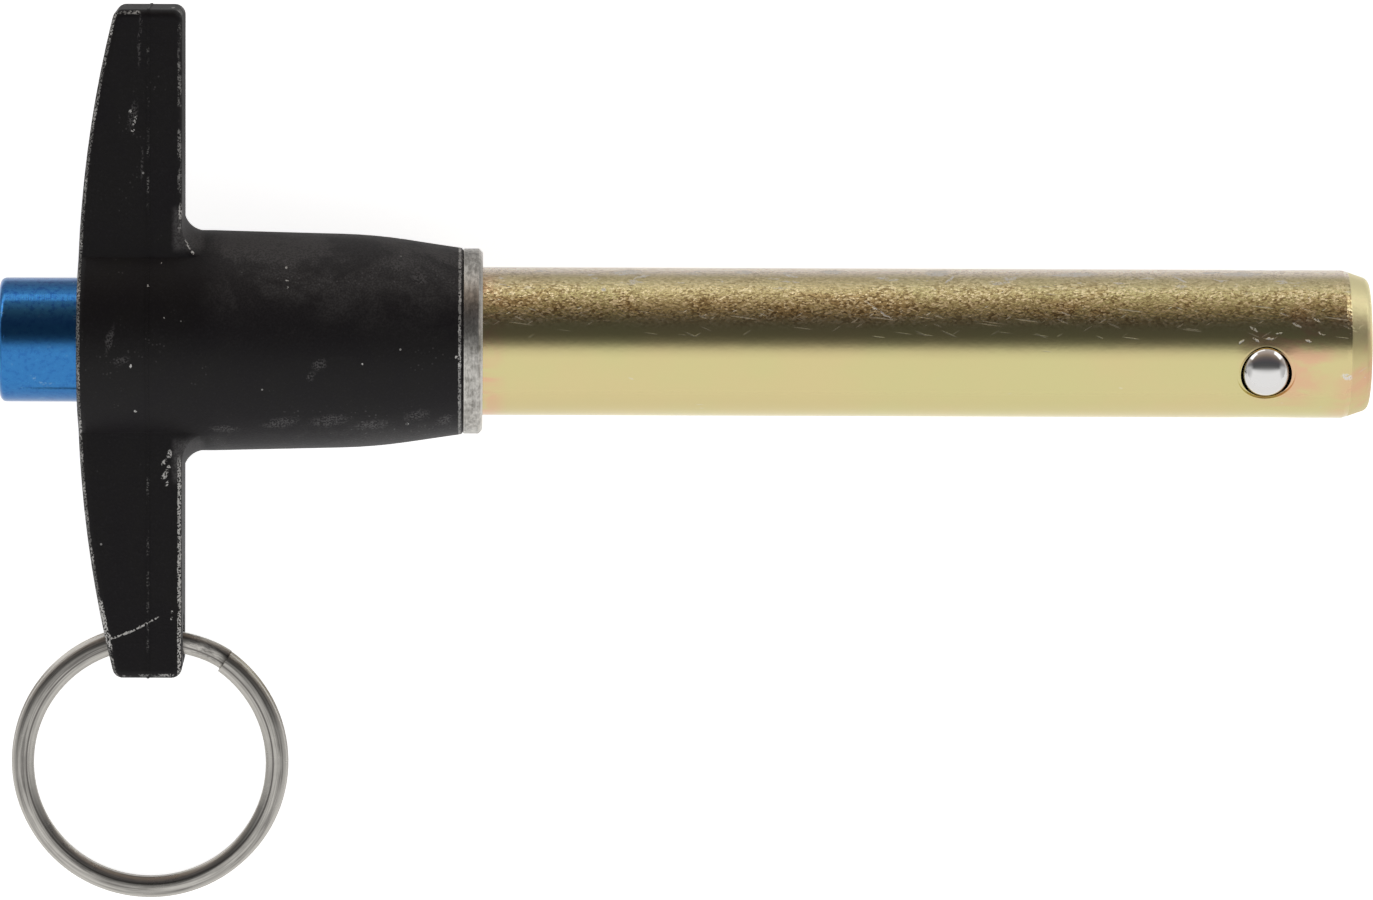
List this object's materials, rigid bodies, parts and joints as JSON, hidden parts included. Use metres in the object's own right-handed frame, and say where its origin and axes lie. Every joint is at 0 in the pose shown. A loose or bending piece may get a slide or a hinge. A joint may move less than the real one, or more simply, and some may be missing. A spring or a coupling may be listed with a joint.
{
  "type": "ball lock pin",
  "caption": "Quick-release pin with a T-handle, push button, sprung spindle, locking balls at the tip and a split ring through one arm.",
  "frame": {"origin": "on the pin's axis at the front face of the collar, where the grip starts", "axes": "+X along the pin to its tip; the pin lies on a surface whose upward normal is +Z, rolled about X until hub and ring-side arm both touch it; the eye and ring are on the -Y side"},
  "size_m": [0.1176, 0.0766, 0.019],
  "materials": {
    "black_coating": "satin",
    "grey_steel": "satin",
    "yellow_plating": "satin",
    "spring_wire": "satin",
    "spindle_steel": "satin",
    "blue_anodising": "satin",
    "polished_ball": "polished",
    "ring_steel": "satin"
  },
  "bodies": {
    "grip": {"handle": "black_coating", "collar": "grey_steel", "shank": "yellow_plating", "return_spring": "spring_wire"},
    "plunger": {"spindle": "spindle_steel", "button": "blue_anodising"},
    "near_ball": {"ball_near": "polished_ball"},
    "far_ball": {"ball_far": "polished_ball"},
    "ring": {"split_ring": "ring_steel"}
  },
  "joints": [
    {"name": "button_press", "type": "slide", "parent": "grip", "child": "plunger", "axis": [1, 0, 0], "range_m": [0, 0.0046], "stiffness_N_per_m": 1500, "springref_m": -0.0053, "deforming": ["return_spring"]},
    {"name": "near_ball_sink", "type": "slide", "parent": "grip", "child": "near_ball", "axis": [0, 0.4698, -0.8828], "range_m": [0, 0.0011]},
    {"name": "far_ball_sink", "type": "slide", "parent": "grip", "child": "far_ball", "axis": [0, -0.4698, 0.8828], "range_m": [0, 0.0011]},
    {"name": "ring_swing", "type": "hinge", "parent": "grip", "child": "ring", "pos_m": [-0.0285, -0.02536, -0.00366], "axis": [1, 0, 0], "range_deg": [-150, 150]}
  ],
  "couplings": [
    {"joint": "near_ball_sink", "follows": "button_press", "ratio": 0.23913},
    {"joint": "far_ball_sink", "follows": "button_press", "ratio": 0.23913}
  ]
}
